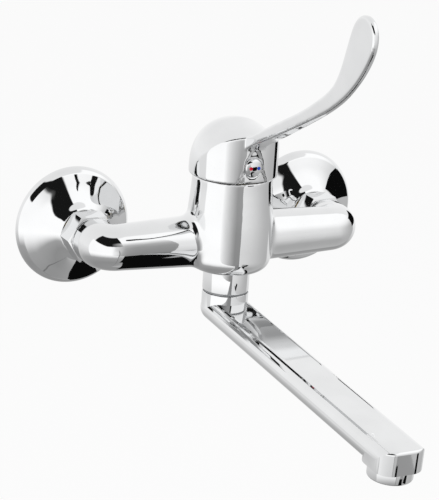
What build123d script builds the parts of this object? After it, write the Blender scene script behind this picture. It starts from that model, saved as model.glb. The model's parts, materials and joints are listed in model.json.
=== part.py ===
from build123d import *
from math import cos, pi, sin, sqrt, radians
import os

# Elbow lever tap: wall-mounted single-lever mixer with a low swivel spout.
# Millimetres. X runs along the wall, Y into the wall, Z up. The origin lies on the wall
# plane, midway between the two wall inlets. Every piece is a solid of its own.

# Overall layout
inlet_spacing = 150.0
union_offset = 6.0          # the tap's inlets stand this much above the wall inlets
arm_setback = 4.0           # the arms' axis lies this far behind the barrel's
part_gap = 0.3              # between pieces that only come close
running_gap = 0.1           # radial, between a shaft and its bore
cut_over = 1.0              # overrun of every cut

# Wall unions
wall_thread_d = 20.955
wall_thread_length = 16.0
union_bore_d = 13.0
union_step_depth = 7.0      # depth of the eccentric block in front of the wall
union_reach = 2.6           # how far the union enters its nut
thread_chamfer = 1.2

# Rosettes
rosette_d = 69.4
rosette_depth = 16.8
rosette_wall = 1.2
rosette_neck_d = 26.6
rosette_lip = 1.6           # height of the straight rim on the wall
rosette_crown_shares = ((0.90, 0.24), (0.76, 0.40), (0.62, 0.53), (0.49, 0.72), (0.415, 0.90))

# Union nuts and inlet tails
nut_flats = 26.0
nut_length = 13.0
nut_gap = 1.2               # rosette neck to nut
nut_chamfer = 1.4
nut_shoulder = 5.4          # length of the narrow front of the bore
tail_d = 16.0
tail_bore_d = 11.0
tail_flange = 2.4
tail_length = 21.4
gasket_thick = 2.0
collar_gap = 1.3            # nut to the collar of the body
collar_length = 8.1         # straight collar of the body, up to its bend
seal_groove_depth = 1.3
seal_width = 2.0
seal_inset = 5.0            # collar face to the seal groove

# Body
barrel_top_d = 45.8
barrel_d = 49.2
barrel_top = 39.2
barrel_waist = 22.0         # height where the neck reaches the full barrel
barrel_bottom = -16.0
barrel_round = 8.0
arm_end_d = 26.2
arm_root_d = 31.6
arm_fillet = 5.0            # hollow fillet where an arm runs into the barrel
bend_radius = 7.6
bend_core = 0.3             # the bend's section stops this far from the axis it turns about
waterway_d = 10.6
arm_bore_d = 9.8            # bore along each arm, a little narrower than the one it meets
inlet_port_d = 7.0
outlet_port_d = 8.4
port_side = 8.6             # hot and cold ports, sideways from the axis
port_front = 8.0            # outlet port, in front of the axis
chamber_floor = 9.0
nut_seat = 30.4
nut_bore_d = 40.8
outlet_bore_top = -9.0

# Cartridge
cartridge_d = 35.0
housing_wall = 1.5
housing_shoulder = 31.5
housing_top = 41.5
housing_neck_d = 25.8
base_flange = 2.0
base_height = 3.5
base_step = 1.6             # radius step from the flange to the upper plate
port_seal_width = 1.3
port_seal_height = 1.4
disc_thick = 3.5
fixed_disc_d = 31.4
moving_disc_d = 24.4
carrier_height = 4.7
mix_pocket = 1.8
bush_d = 22.6
bush_flange_d = 31.2
bush_flange = 2.5
bush_slot_back = 9.4
bush_slot_front = 4.4
tip_slot = 5.2
spindle_side = 8.0
spindle_top = 54.5
tip_d = 4.8
tip_neck_d = 3.6
pin_d = 3.0
pin_length = 21.0
lift_axis = 29.5
tip_drop = 7.0              # lift axis down to the middle of the spindle's tip
stop_ring_width = 2.0
stop_ring_height = 2.5
stop_ring_notches = 20
notch_depth = 0.7
cartridge_nut_flats = 34.0
cartridge_nut_hex = 2.3

# Lever
head_d = 50.4
head_wall = 1.9
head_rim = 39.5
head_spring = 44.1          # height where the upright flank turns into the dome
head_apex = 72.0
brow_drop = 5.2             # how much lower the dome's ridge is at the front
dome_wall = 3.0
dome_roundness = 0.60       # handle length of a quarter curve, a little fuller than an ellipse
boss_d = 16.4
boss_bottom = 47.0
screw_height = 48.7
screw_d = 5.0
screw_length = 10.0
screw_key = 2.5
tunnel_d = 9.2
button_d = 10.6
button_depth = 3.0
button_dome = 0.9
button_stem_d = 4.8
button_stem = 5.0
mark_d = 2.0
mark_side = 2.4
recess_depth = 1.4
recess_width = 18.6
recess_height = 20.0
recess_outline_shares = ((0.86, 0.16), (0.66, 0.36), (0.57, 0.55), (0.45, 0.74), (0.24, 0.91))
lever_reach = 138.9         # axis to the foremost point of the blade
lever_rise = 154.2          # height of the blade's tip
blade_root_half = 6.2
blade_paddle_half = 2.2
blade_edge = 1.1
# Side outline of the blade: share of the reach, share of the rise
blade_back_shares = (
    (0.0576, 0.415), (0.180, 0.437), (0.300, 0.4915), (0.415, 0.5455), (0.549, 0.6085), (0.677, 0.682),
    (0.749, 0.736), (0.792, 0.801), (0.819, 0.869), (0.842, 0.928), (0.866, 0.9705),
)
blade_tip_shares = ((0.909, 0.998), (0.952, 0.995))
blade_front_shares = (
    (0.990, 0.966), (1.0, 0.918), (0.959, 0.8295), (0.8775, 0.744), (0.751, 0.655), (0.622, 0.590),
    (0.490, 0.5285), (0.353, 0.467), (0.224, 0.411), (0.180, 0.388), (0.0576, 0.350),
)
# Plan outline of the blade: share of the reach, share of the change from root to paddle
blade_plan_shares = ((0.0, 0.0), (0.216, 0.05), (0.432, 0.40), (0.72, 0.90), (1.05, 1.0))

# Spout joint
sleeve_d = 26.8
sleeve_bottom = -29.2
sleeve_bore_d = 19.8
slip_ring = 0.9
slip_ring_inset = 0.5
outlet_thread_d = 18.0
nipple_d = 17.2
nipple_bore_d = 12.4
nipple_bottom = -42.6
o_ring_groove = 1.3
o_ring_width = 1.8
o_ring_heights = (-34.6, -38.6)
snap_ring_height = -32.4
snap_ring = 1.2
snap_ring_reach = 0.8
snap_slit = 3.0

# Spout
spout_reach = 187.6
spout_slope = 4.2           # degrees, falling to the nose
spout_width = 27.0
spout_height = 13.0
spout_flat = 16.0
spout_top = -34.5
spout_wall = 2.2
spout_collar_top = -30.25
nose_front = 13.4
nose_back = 12.6
nose_corner = 8.6
nose_edge = 1.6
spigot_d = 20.4
spigot_length = 2.6
spout_mouth_d = 17.8

# Aerator
aerator_d = 23.8
aerator_height = 6.4
aerator_lip_bore_d = 18.6
washer_thick = 1.5
insert_flange = 1.1
insert_body_d = 17.0
insert_body = 8.0
insert_cell_d = 2.3
insert_cell_pitch = 3.1
insert_cell_rings = 2

low = (Align.CENTER, Align.CENTER, Align.MIN)


def upright(x=0.0, z=0.0):
    """Plane across the barrel's axis, its normal up."""
    return Plane(origin=(x, -axis_depth, z), x_dir=(1, 0, 0), z_dir=(0, 0, 1))


def forward(x=0.0, z=0.0, depth=0.0):
    """Plane parallel to the wall, its normal towards the user."""
    return Plane(origin=(x, -depth, z), x_dir=(1, 0, 0), z_dir=(0, -1, 0))


def sideways(y=0.0, z=0.0):
    """Plane across the X axis, its normal along +X."""
    return Plane(origin=(0, y, z), x_dir=(0, 1, 0), z_dir=(1, 0, 0))


def rod(plane, diameter, start, end):
    """Cylinder along the plane's normal, between two distances from the plane."""
    return plane * Pos(0, 0, start) * Cylinder(diameter / 2, end - start, align=low)


def ring(plane, outer, inner, start, end):
    """Tube along the plane's normal."""
    return rod(plane, outer, start, end) - rod(plane, inner, start - cut_over, end + cut_over)


def turned(plane, outline):
    """Closed outline of (radius, distance) points, turned about the plane's normal."""
    section = Plane(origin=plane.origin, x_dir=plane.x_dir, z_dir=-plane.y_dir)
    face = make_face(Polyline(*outline, close=True))
    return revolve(section * face, Axis(plane.origin, plane.z_dir))


def hexagon(plane, flats, start, end):
    """Hexagonal prism with corners to the left and right."""
    outline = RegularPolygon(flats / sqrt(3), 6)
    return extrude(plane * Pos(0, 0, start) * outline, amount=end - start)


# Distances in front of the wall, along each inlet
nut_start = rosette_depth + nut_gap
nut_end = nut_start + nut_length
union_end = nut_start + union_reach
flange_start = union_end + gasket_thick
flange_end = flange_start + tail_flange
tail_end = flange_start + tail_length
collar_start = nut_end + collar_gap
shoulder_start = nut_end - nut_shoulder
nut_thread_d = wall_thread_d + 2 * running_gap
tail_seal_start = collar_start + seal_inset
arm_depth = collar_start + collar_length + bend_radius
axis_depth = arm_depth + arm_setback


def make_s_union(side):
    x = side * inlet_spacing / 2
    wall_end = forward(x, -union_offset)
    tap_end = forward(x)
    thread_r = wall_thread_d / 2
    stub = turned(wall_end, (
        (0, -wall_thread_length),
        (thread_r - thread_chamfer, -wall_thread_length),
        (thread_r, thread_chamfer - wall_thread_length),
        (thread_r, thread_chamfer),
        (0, thread_chamfer),
    ))
    block = loft([
        wall_end * Pos(0, 0, thread_chamfer) * Circle(thread_r),
        tap_end * Pos(0, 0, union_step_depth) * Circle(thread_r),
    ])
    shank = turned(tap_end, (
        (0, union_step_depth),
        (thread_r, union_step_depth),
        (thread_r, union_end - thread_chamfer),
        (thread_r - thread_chamfer, union_end),
        (0, union_end),
    ))
    bore = loft([
        wall_end * Pos(0, 0, thread_chamfer) * Circle(union_bore_d / 2),
        tap_end * Pos(0, 0, union_step_depth) * Circle(union_bore_d / 2),
    ])
    stub -= rod(wall_end, union_bore_d, -wall_thread_length - cut_over, thread_chamfer + cut_over)
    shank -= rod(tap_end, union_bore_d, union_step_depth - cut_over, union_end + cut_over)
    return stub + (block - bore) + shank


def make_rosette(side):
    plane = forward(side * inlet_spacing / 2)
    section = Plane(origin=plane.origin, x_dir=plane.x_dir, z_dir=-plane.y_dir)
    outer_r = rosette_d / 2
    neck_r = rosette_neck_d / 2
    bore_r = wall_thread_d / 2 + part_gap
    crown = [(outer_r, rosette_lip)]
    for radius_share, depth_share in rosette_crown_shares:
        crown.append((outer_r * radius_share, rosette_depth * depth_share))
    crown.append((neck_r, rosette_depth))
    inner = [(outer_r - rosette_wall, rosette_lip)]
    for radius_share, depth_share in rosette_crown_shares[:-1]:
        inner.append((outer_r * radius_share - rosette_wall / 2, rosette_depth * depth_share - rosette_wall))
    inner.append((bore_r, rosette_depth - 2 * rosette_wall))
    outside = make_face([
        Spline(*crown, tangents=((-0.25, 1), (-0.1, 1))),
        Polyline(crown[-1], (0, rosette_depth), (0, 0), (outer_r, 0), crown[0]),
    ])
    inside = make_face([
        Spline(*inner, tangents=((-0.25, 1), (-1, 1))),
        Polyline(
            inner[-1], (bore_r, rosette_depth + cut_over), (0, rosette_depth + cut_over),
            (0, -cut_over), (outer_r - rosette_wall, -cut_over), inner[0],
        ),
    ])
    axis = Axis(plane.origin, plane.z_dir)
    return revolve(section * outside, axis) - revolve(section * inside, axis)


def make_union_nut(side):
    plane = forward(side * inlet_spacing / 2)
    corner = nut_flats / sqrt(3)
    blank = hexagon(plane, nut_flats, nut_start, nut_end)
    blank &= turned(plane, (
        (0, nut_start),
        (corner - nut_chamfer, nut_start),
        (corner + nut_chamfer, nut_start + nut_chamfer),
        (corner + nut_chamfer, nut_end - nut_chamfer),
        (corner - 2 * nut_chamfer, nut_end),
        (0, nut_end),
    ))
    blank -= rod(plane, nut_thread_d, nut_start - cut_over, shoulder_start)
    return blank - rod(plane, tail_d + 2 * running_gap, shoulder_start - cut_over, nut_end + cut_over)


def make_inlet_tail(side):
    plane = forward(side * inlet_spacing / 2)
    flange_d = nut_thread_d - 2 * part_gap
    tail = rod(plane, flange_d, flange_start, flange_end) + rod(plane, tail_d, flange_start, tail_end)
    groove_d = tail_d - 2 * seal_groove_depth
    tail -= ring(plane, tail_d + cut_over, groove_d, tail_seal_start, tail_seal_start + seal_width)
    return tail - rod(plane, tail_bore_d, flange_start - cut_over, tail_end + cut_over)


def make_tail_seal(side):
    plane = forward(side * inlet_spacing / 2)
    groove_d = tail_d - 2 * seal_groove_depth
    return ring(plane, tail_d, groove_d, tail_seal_start, tail_seal_start + seal_width)


def make_inlet_gasket(side):
    plane = forward(side * inlet_spacing / 2)
    return ring(plane, nut_thread_d - 2 * part_gap, union_bore_d, union_end, flange_start)


def barrel_solid():
    """The barrel: narrower neck under the lever, rounded bottom edge."""
    radius = barrel_d / 2
    outline = [
        Line((0, barrel_bottom), (radius - barrel_round, barrel_bottom)),
        RadiusArc((radius - barrel_round, barrel_bottom), (radius, barrel_bottom + barrel_round),
                  -barrel_round),
        Spline((radius, barrel_bottom + barrel_round), (radius, barrel_waist - barrel_round),
               (barrel_top_d / 2, barrel_top), tangents=((0, 1), (0, 1))),
        Polyline((barrel_top_d / 2, barrel_top), (0, barrel_top), (0, barrel_bottom)),
    ]
    section = Plane(origin=(0, -axis_depth, 0), x_dir=(1, 0, 0), z_dir=(0, -1, 0))
    return revolve(section * make_face(outline), Axis((0, -axis_depth, 0), (0, 0, 1)))


def arm_solid(side):
    """Tapering arm, rounded bend towards the wall and the collar at the nut."""
    x = side * inlet_spacing / 2
    bend_start = inlet_spacing / 2 - bend_radius
    across = Plane(origin=(0, -arm_depth, 0), x_dir=(0, 1, 0), z_dir=(side, 0, 0))
    arm = loft([
        across * Circle(arm_root_d / 2),
        across * Pos(0, 0, bend_start) * Circle(arm_end_d / 2),
    ])
    # The bend turns about an upright axis that lies inside the tube, so only the outer
    # part of the section is swept, and a thin pin fills the middle.
    turn_centre = (side * bend_start, -arm_depth + bend_radius, 0)
    section = Plane(origin=turn_centre, x_dir=(0, -1, 0), z_dir=(side, 0, 0))
    room = arm_end_d + bend_radius
    disc = Pos(bend_radius, 0) * Circle(arm_end_d / 2)
    half = Pos(bend_core + room / 2, 0) * Rectangle(room, room)
    bend = revolve(section * (disc & half), Axis(turn_centre, (0, 0, 1)), side * 90)
    collar = rod(forward(x), arm_end_d, collar_start, arm_depth - bend_radius)
    core_half = sqrt((arm_end_d / 2) ** 2 - (bend_radius + bend_core) ** 2)
    core = rod(Plane(origin=turn_centre), 4 * bend_core, -core_half, core_half)
    return arm + bend + collar + core


def make_mixer_body():
    barrel = barrel_solid()
    arms = [arm_solid(side) for side in (-1, 1)]
    body = barrel + arms[0] + arms[1]
    body = fillet(new_edges(barrel, *arms, combined=body), arm_fillet)
    chamber = upright()
    body -= rod(chamber, cartridge_d + 2 * part_gap, chamber_floor, barrel_top + cut_over)
    body -= rod(chamber, nut_bore_d, nut_seat, barrel_top + cut_over)
    body -= rod(chamber, outlet_thread_d, barrel_bottom - cut_over, outlet_bore_top)
    for side in (-1, 1):
        inlet = forward(side * inlet_spacing / 2)
        body -= rod(inlet, tail_d, collar_start - cut_over, tail_end)
        body -= rod(inlet, waterway_d, tail_end - cut_over, arm_depth + waterway_d / 2)
        across = Plane(origin=(0, -arm_depth, 0), x_dir=(0, 1, 0), z_dir=(side, 0, 0))
        body -= rod(across, arm_bore_d, port_side, inlet_spacing / 2)
        port = Plane(origin=(side * port_side, -arm_depth, 0))
        body -= rod(port, inlet_port_d, 0, chamber_floor + cut_over)
    outlet = Plane(origin=(0, -axis_depth - port_front, 0))
    drop = outlet_bore_top - inlet_port_d / 2
    return body - rod(outlet, outlet_port_d, drop, chamber_floor + cut_over)


def port_planes():
    """Axes of the hot, cold and mixed ports with their diameters."""
    return (
        (Plane(origin=(-port_side, -arm_depth, 0)), inlet_port_d),
        (Plane(origin=(port_side, -arm_depth, 0)), inlet_port_d),
        (Plane(origin=(0, -axis_depth - port_front, 0)), outlet_port_d),
    )


base_top = chamber_floor + base_height
fixed_top = base_top + disc_thick
moving_top = fixed_top + disc_thick
carrier_top = moving_top + carrier_height
bush_bottom = carrier_top + part_gap
bush_flange_top = bush_bottom + bush_flange
housing_bottom = chamber_floor + base_flange
housing_inner_d = cartridge_d - 2 * housing_wall
housing_neck_bore_d = bush_d + 2 * running_gap


def make_cartridge_base():
    axis = upright()
    base = rod(axis, cartridge_d - running_gap, chamber_floor, housing_bottom)
    base += rod(axis, cartridge_d - 2 * base_step - 2 * running_gap, housing_bottom, base_top)
    for plane, port_d in port_planes():
        base -= rod(plane, port_d, chamber_floor - cut_over, base_top + cut_over)
        seal_d = port_d + 2 * port_seal_width
        base -= rod(plane, seal_d, chamber_floor - cut_over, chamber_floor + port_seal_height)
    return base


def make_port_seals():
    seals = []
    for plane, port_d in port_planes():
        outer = port_d + 2 * port_seal_width
        seals.append(ring(plane, outer, port_d, chamber_floor, chamber_floor + port_seal_height))
    return Compound(seals)


def make_fixed_disc():
    disc = rod(upright(), fixed_disc_d, base_top, fixed_top)
    for plane, port_d in port_planes():
        disc -= rod(plane, port_d, base_top - cut_over, fixed_top + cut_over)
    return disc


def make_moving_disc():
    axis = upright()
    disc = rod(axis, moving_disc_d, fixed_top, moving_top)
    pocket_d = outlet_port_d + inlet_port_d
    return disc - rod(axis, pocket_d, fixed_top - cut_over, fixed_top + mix_pocket)


def make_disc_carrier():
    axis = upright()
    carrier = rod(axis, moving_disc_d, moving_top, carrier_top)
    socket_d = tip_d + 2 * part_gap + 2 * running_gap
    return carrier - rod(axis, socket_d, moving_top - cut_over, carrier_top + cut_over)


def make_turning_bush():
    axis = upright()
    bush = rod(axis, bush_flange_d, bush_bottom, bush_flange_top)
    bush += rod(axis, bush_d, bush_bottom, housing_top)
    slot_width = spindle_side + 2 * part_gap
    slot_length = bush_slot_back + bush_slot_front
    slot_height = housing_top - bush_flange_top + cut_over
    slot_centre = (bush_slot_back - bush_slot_front) / 2 - axis_depth
    bush -= Pos(0, slot_centre, bush_flange_top) * Box(slot_width, slot_length, slot_height, align=low)
    bush -= Pos(0, -axis_depth, bush_bottom - cut_over) * Box(
        tip_slot, 2 * tip_slot, bush_flange + 2 * cut_over, align=low)
    return bush - rod(sideways(-axis_depth, lift_axis), pin_d, -pin_length / 2, pin_length / 2)


def make_spindle():
    axis = upright()
    tip_height = lift_axis - tip_drop
    collar_bottom = bush_flange_top + part_gap
    shaft = Pos(0, -axis_depth, collar_bottom) * Box(
        spindle_side, spindle_side, spindle_top - collar_bottom, align=low)
    shaft += rod(axis, tip_neck_d, tip_height, collar_bottom + cut_over)
    shaft += Pos(0, -axis_depth, tip_height) * Sphere(tip_d / 2)
    # The lower corners are rounded so that they clear the floor of the slot when it tilts.
    swing = 2 * (lift_axis - collar_bottom)
    lower = Pos(0, -axis_depth, collar_bottom) * Box(
        spindle_side + cut_over, spindle_side + cut_over, lift_axis - collar_bottom, align=low)
    keep = rod(sideways(-axis_depth, lift_axis), swing, -spindle_side, spindle_side)
    shaft -= lower - keep - rod(axis, tip_neck_d, collar_bottom - cut_over, lift_axis)
    hole_d = pin_d + 2 * running_gap
    return shaft - rod(sideways(-axis_depth, lift_axis), hole_d, -spindle_side, spindle_side)


def make_spindle_pin():
    return rod(sideways(-axis_depth, lift_axis), pin_d, -pin_length / 2, pin_length / 2)


def make_cartridge_housing():
    axis = upright()
    shell = rod(axis, cartridge_d, housing_bottom, housing_shoulder)
    shell += rod(axis, housing_neck_d, housing_shoulder - cut_over, housing_top)
    shell -= rod(axis, housing_inner_d, housing_bottom - cut_over, bush_flange_top + part_gap)
    return shell - rod(axis, housing_neck_bore_d, housing_bottom, housing_top + cut_over)


ring_start = housing_top - stop_ring_height - part_gap
ring_inner_d = housing_neck_d + 2 * running_gap
ring_outer_d = ring_inner_d + 2 * stop_ring_width


def make_temperature_stop_ring():
    axis = upright()
    ring_top = ring_start + stop_ring_height
    body = ring(axis, ring_outer_d, ring_inner_d, ring_start, ring_top)
    notch = Box(notch_depth, notch_depth, 2 * stop_ring_height)
    for index in range(stop_ring_notches):
        turn = 2 * pi * index / stop_ring_notches
        x = ring_outer_d / 2 * cos(turn)
        y = ring_outer_d / 2 * sin(turn) - axis_depth
        body -= Pos(x, y, ring_top) * Rot(0, 0, 360 * index / stop_ring_notches) * notch
    return body


def make_cartridge_nut():
    axis = upright()
    nut = rod(axis, nut_bore_d - 2 * running_gap, housing_shoulder, barrel_top)
    nut += hexagon(axis, cartridge_nut_flats, barrel_top, barrel_top + cartridge_nut_hex)
    nut -= rod(axis, ring_inner_d, housing_shoulder - cut_over, housing_top + cut_over)
    return nut - rod(axis, ring_outer_d + 2 * running_gap, ring_start, housing_top + cut_over)


def quarter_arch(half, rise):
    """Quarter of an ellipse, from the spring line up to the middle."""
    return Bezier(
        (half, head_spring),
        (half, head_spring + dome_roundness * rise),
        (dome_roundness * half, head_spring + rise),
        (0, head_spring + rise),
    )


def arch_face(depth, rise, half):
    """Upright flanks from the rim to the spring line, closed by a half ellipse."""
    plane = Plane(origin=(0, -axis_depth - depth, 0), x_dir=(1, 0, 0), z_dir=(0, -1, 0))
    right = quarter_arch(half, rise)
    outline = make_face([
        right,
        mirror(right, Plane.YZ),
        Polyline((-half, head_spring), (-half, head_rim), (half, head_rim), (half, head_spring)),
    ])
    return plane * outline


def dome(radius, apex, bottom, turn=360):
    """Upright flank with an elliptical dome above the spring line, turned from +X to the back."""
    outline = make_face([
        Polyline((0, apex), (0, bottom), (radius, bottom), (radius, head_spring)),
        quarter_arch(radius, apex - head_spring),
    ])
    section = Plane(origin=(0, -axis_depth, 0), x_dir=(1, 0, 0), z_dir=(0, -1, 0))
    return revolve(section * outline, Axis((0, -axis_depth, 0), (0, 0, 1)), turn)


def head_solid():
    """Dome at the back; at the front a vault whose ridge runs out into the blade."""
    radius = head_d / 2
    rise = head_apex - head_spring
    vault = loft([
        arch_face(0, rise, radius).face(),
        arch_face(radius + cut_over, rise - brow_drop, radius + cut_over).face(),
    ])
    vault &= rod(upright(), head_d, head_rim, head_apex)
    return dome(radius, head_apex, head_rim, 180) + vault


def blade_solid():
    """Side outline of the blade, cut by its plan outline."""
    def place(shares):
        return [(reach_share * lever_reach, rise_share * lever_rise) for reach_share, rise_share in shares]

    back = place(blade_back_shares)
    front = place(blade_front_shares)
    side_plane = Plane(origin=(0, -axis_depth, 0), x_dir=(0, -1, 0), z_dir=(-1, 0, 0))
    side = make_face([
        Spline(*(back + place(blade_tip_shares) + front)),
        Line(front[-1], back[0]),
    ])
    plate = extrude(side_plane * side, amount=head_d / 2, both=True)
    change = blade_root_half - blade_paddle_half
    edge = []
    for reach_share, change_share in blade_plan_shares:
        edge.append((blade_root_half - change * change_share, -reach_share * lever_reach))
    mirrored = [(-x, y) for x, y in reversed(edge)]
    plan = make_face([
        Spline(*edge),
        Line(edge[-1], mirrored[0]),
        Spline(*mirrored),
        Line(mirrored[-1], edge[0]),
    ])
    wedge = extrude(Pos(0, -axis_depth, head_rim) * plan, amount=lever_rise)
    blade = plate & wedge
    long_edges = blade.edges().filter_by(lambda edge: edge.length > head_d)
    return fillet(long_edges, blade_edge)


def recess_prism(grow, depth):
    """Arched outline under the blade, standing on the rim and running to the front."""
    half = recess_width / 2 + grow
    height = recess_height + grow
    right = [(half, 0)]
    for width_share, height_share in recess_outline_shares:
        right.append((half * width_share, height * height_share))
    top = (0, height)
    left = [(-x, z) for x, z in reversed(right)]
    outline = make_face([
        Spline(*right, top, *left),
        Polyline(left[-1], (-half, -cut_over), (half, -cut_over), right[0]),
    ])
    plane = Plane(origin=(0, -axis_depth - depth, head_rim), x_dir=(1, 0, 0), z_dir=(0, -1, 0))
    return extrude(plane * outline, amount=head_d / 2 - depth + cut_over)


def make_lever():
    radius = head_d / 2
    inner_r = radius - head_wall
    lever = head_solid() + blade_solid()
    axis = upright()
    button_plane = forward(0, screw_height, axis_depth)
    lever -= dome(inner_r, head_apex - dome_wall, head_rim - cut_over)
    # Thicker wall behind the recess, the boss on the spindle and the screw's tunnel
    floor_r = radius - recess_depth
    pad = recess_prism(head_wall, radius / 2) & rod(axis, 2 * floor_r, head_rim, head_apex)
    pad -= rod(axis, 2 * (floor_r - head_wall), head_rim - cut_over, head_apex)
    inside = dome(inner_r + head_wall / 2, head_apex - dome_wall / 2, head_rim)
    boss = rod(axis, boss_d, boss_bottom, head_apex) & inside
    tunnel = rod(button_plane, tunnel_d, spindle_side / 2, floor_r) & inside
    lever += pad + boss + tunnel
    recess = recess_prism(0, radius / 2) - rod(axis, 2 * floor_r, head_rim - cut_over, head_apex)
    lever -= recess
    socket = spindle_side + 2 * running_gap
    lever -= Pos(0, -axis_depth, boss_bottom - cut_over) * Box(
        socket, socket, spindle_top - boss_bottom + cut_over + part_gap, align=low)
    lever -= rod(axis, boss_d - 2 * head_wall, head_rim, boss_bottom)
    lever -= rod(button_plane, screw_d + 2 * running_gap, 0, radius)
    return lever - rod(button_plane, button_d + 2 * running_gap, radius - button_depth, radius + cut_over)


def make_lever_screw():
    plane = forward(0, screw_height, axis_depth)
    start = spindle_side / 2 + part_gap / 2
    screw = rod(plane, screw_d, start, start + screw_length)
    return screw - hexagon(plane, screw_key, start + screw_length / 2, start + screw_length + cut_over)


button_back = head_d / 2 - button_depth
button_face = head_d / 2 - button_dome / 2


def make_indicator_button():
    plane = forward(0, screw_height, axis_depth)
    half = button_d / 2
    section = Plane(origin=plane.origin, x_dir=plane.x_dir, z_dir=-plane.y_dir)
    stem_r = button_stem_d / 2
    outline = make_face([
        Polyline((0, button_face + button_dome), (0, button_back - button_stem),
                 (stem_r, button_back - button_stem), (stem_r, button_back), (half, button_back),
                 (half, button_face)),
        TangentArc((0, button_face + button_dome), (half, button_face), tangent=(1, 0)),
    ])
    button = revolve(section * outline, Axis(plane.origin, plane.z_dir))
    for side in (-1, 1):
        button -= mark_solid(side, running_gap / 2)
    return button


def mark_solid(side, grow):
    """Coloured plug in the button's face."""
    plane = forward(side * mark_side, screw_height, axis_depth)
    return rod(plane, mark_d + 2 * grow, button_face - mark_d / 2 - grow, button_face + button_dome)


def make_mark(side):
    return mark_solid(side, 0)


def make_outlet_sleeve():
    return ring(upright(), sleeve_d, sleeve_bore_d, sleeve_bottom, barrel_bottom)


def make_spout_slip_ring():
    outer = sleeve_d - 2 * slip_ring_inset
    return ring(upright(), outer, nipple_d + 2 * running_gap, sleeve_bottom - slip_ring, sleeve_bottom)


def make_outlet_nipple():
    axis = upright()
    nipple = rod(axis, outlet_thread_d, barrel_bottom - cut_over, outlet_bore_top)
    nipple += rod(axis, sleeve_bore_d - 2 * running_gap, sleeve_bottom, barrel_bottom)
    nipple += rod(axis, nipple_d, nipple_bottom, sleeve_bottom + cut_over)
    groove_d = nipple_d - 2 * o_ring_groove
    for height in o_ring_heights:
        nipple -= ring(axis, nipple_d + cut_over, groove_d, height, height + o_ring_width)
    nipple -= ring(axis, nipple_d + cut_over, groove_d, snap_ring_height, snap_ring_height + snap_ring)
    return nipple - rod(axis, nipple_bore_d, nipple_bottom - cut_over, outlet_bore_top + cut_over)


def make_spout_o_rings():
    axis = upright()
    groove_d = nipple_d - 2 * o_ring_groove
    return Compound([ring(axis, nipple_d, groove_d, height, height + o_ring_width)
                     for height in o_ring_heights])


def make_spout_snap_ring():
    axis = upright()
    outer = nipple_d + 2 * snap_ring_reach
    inner = nipple_d - 2 * o_ring_groove
    snap = ring(axis, outer, inner, snap_ring_height, snap_ring_height + snap_ring)
    slit = Pos(0, -axis_depth, snap_ring_height) * Box(
        snap_slit, outer, snap_ring, align=(Align.CENTER, Align.MIN, Align.MIN))
    return snap - slit


def spout_plane():
    """Along the spout: origin on its top over the swivel axis, X forward, Z out of its top."""
    slope = radians(spout_slope)
    return Plane(origin=(0, -axis_depth, spout_top), x_dir=(0, -cos(slope), -sin(slope)),
                 z_dir=(0, -sin(slope), cos(slope)))


def bar_face(inset, drop, height, flat):
    """Half of the bar's section, from its middle line to the rounded flank."""
    half = spout_width / 2 - inset
    flat_half = flat / 2
    flank = half - flat_half
    return make_face([
        Polyline((flat_half, -drop - height), (0, -drop - height), (0, -drop), (flat_half, -drop)),
        EllipticalCenterArc((flat_half, -drop - height / 2), flank, height / 2, start_angle=-90, arc_size=180),
    ])


def bar_solid(inset, drop, height, flat, length):
    """Bar of that section with a rounded root about the swivel axis, in the spout's own plane."""
    half = bar_face(inset, drop, height, flat)
    whole = half + mirror(half, Plane.YZ)
    run = extrude(Plane(origin=(0, 0, 0), x_dir=(0, 1, 0), z_dir=(1, 0, 0)) * whole, amount=length)
    root = revolve(Plane.XZ * half, Axis.Z, 360)
    return run + root


def nose_solid():
    """Nose block: the bar's upper flanks, upright walls below, rounded corners in plan."""
    length = nose_front + nose_back
    middle = spout_reach + (nose_front - nose_back) / 2
    plan = Pos(middle, 0) * RectangleRounded(length, spout_width, nose_corner)
    block = extrude(Pos(0, 0, -spout_height) * plan, amount=spout_height)
    half = spout_width / 2
    flat_half = spout_flat / 2
    flank = half - flat_half
    middle_height = -spout_height / 2
    right = make_face([
        Polyline((half, middle_height), (half, -spout_height - cut_over), (0, -spout_height - cut_over),
                 (0, 0), (flat_half, 0)),
        EllipticalCenterArc((flat_half, middle_height), flank, spout_height / 2, start_angle=0, arc_size=90),
    ])
    hull = extrude(
        Plane(origin=(spout_reach - nose_back - cut_over, 0, 0), x_dir=(0, 1, 0), z_dir=(1, 0, 0))
        * (right + mirror(right, Plane.YZ)),
        amount=length + 2 * cut_over)
    nose = block & hull
    front = nose.edges().group_by(Axis.Z)[-1].sort_by(Axis.X)[-1]
    return fillet(front, nose_edge)


def make_spout():
    plane = spout_plane()
    bar = bar_solid(0, 0, spout_height, spout_flat, spout_reach) + nose_solid()
    outlet = Plane(origin=(spout_reach, 0, 0))
    bar += rod(outlet, spigot_d, -spout_height - spigot_length, -spout_height + cut_over)
    channel_height = spout_height - 2 * spout_wall
    channel = bar_solid(spout_wall + 1.5 * spout_wall / 2, spout_wall, channel_height,
                        spout_flat - spout_wall, spout_reach)
    bar -= channel
    bar -= rod(outlet, spout_mouth_d, -spout_height - spigot_length - cut_over, -spout_wall)
    spout = plane * bar
    axis = upright()
    middle = spout_top - spout_height / 2
    spout += rod(axis, spout_width - 2 * running_gap, middle, spout_collar_top)
    bore_d = nipple_d + 2 * running_gap
    spout -= rod(axis, bore_d, nipple_bottom - part_gap, spout_collar_top + cut_over)
    groove_d = nipple_d + 2 * snap_ring_reach + 2 * part_gap
    return spout - rod(axis, groove_d, snap_ring_height - part_gap, snap_ring_height + snap_ring + part_gap)


def aerator_plane():
    plane = spout_plane()
    origin = plane.origin + plane.x_dir * spout_reach
    return Plane(origin=origin, x_dir=plane.x_dir, z_dir=plane.z_dir)


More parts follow.
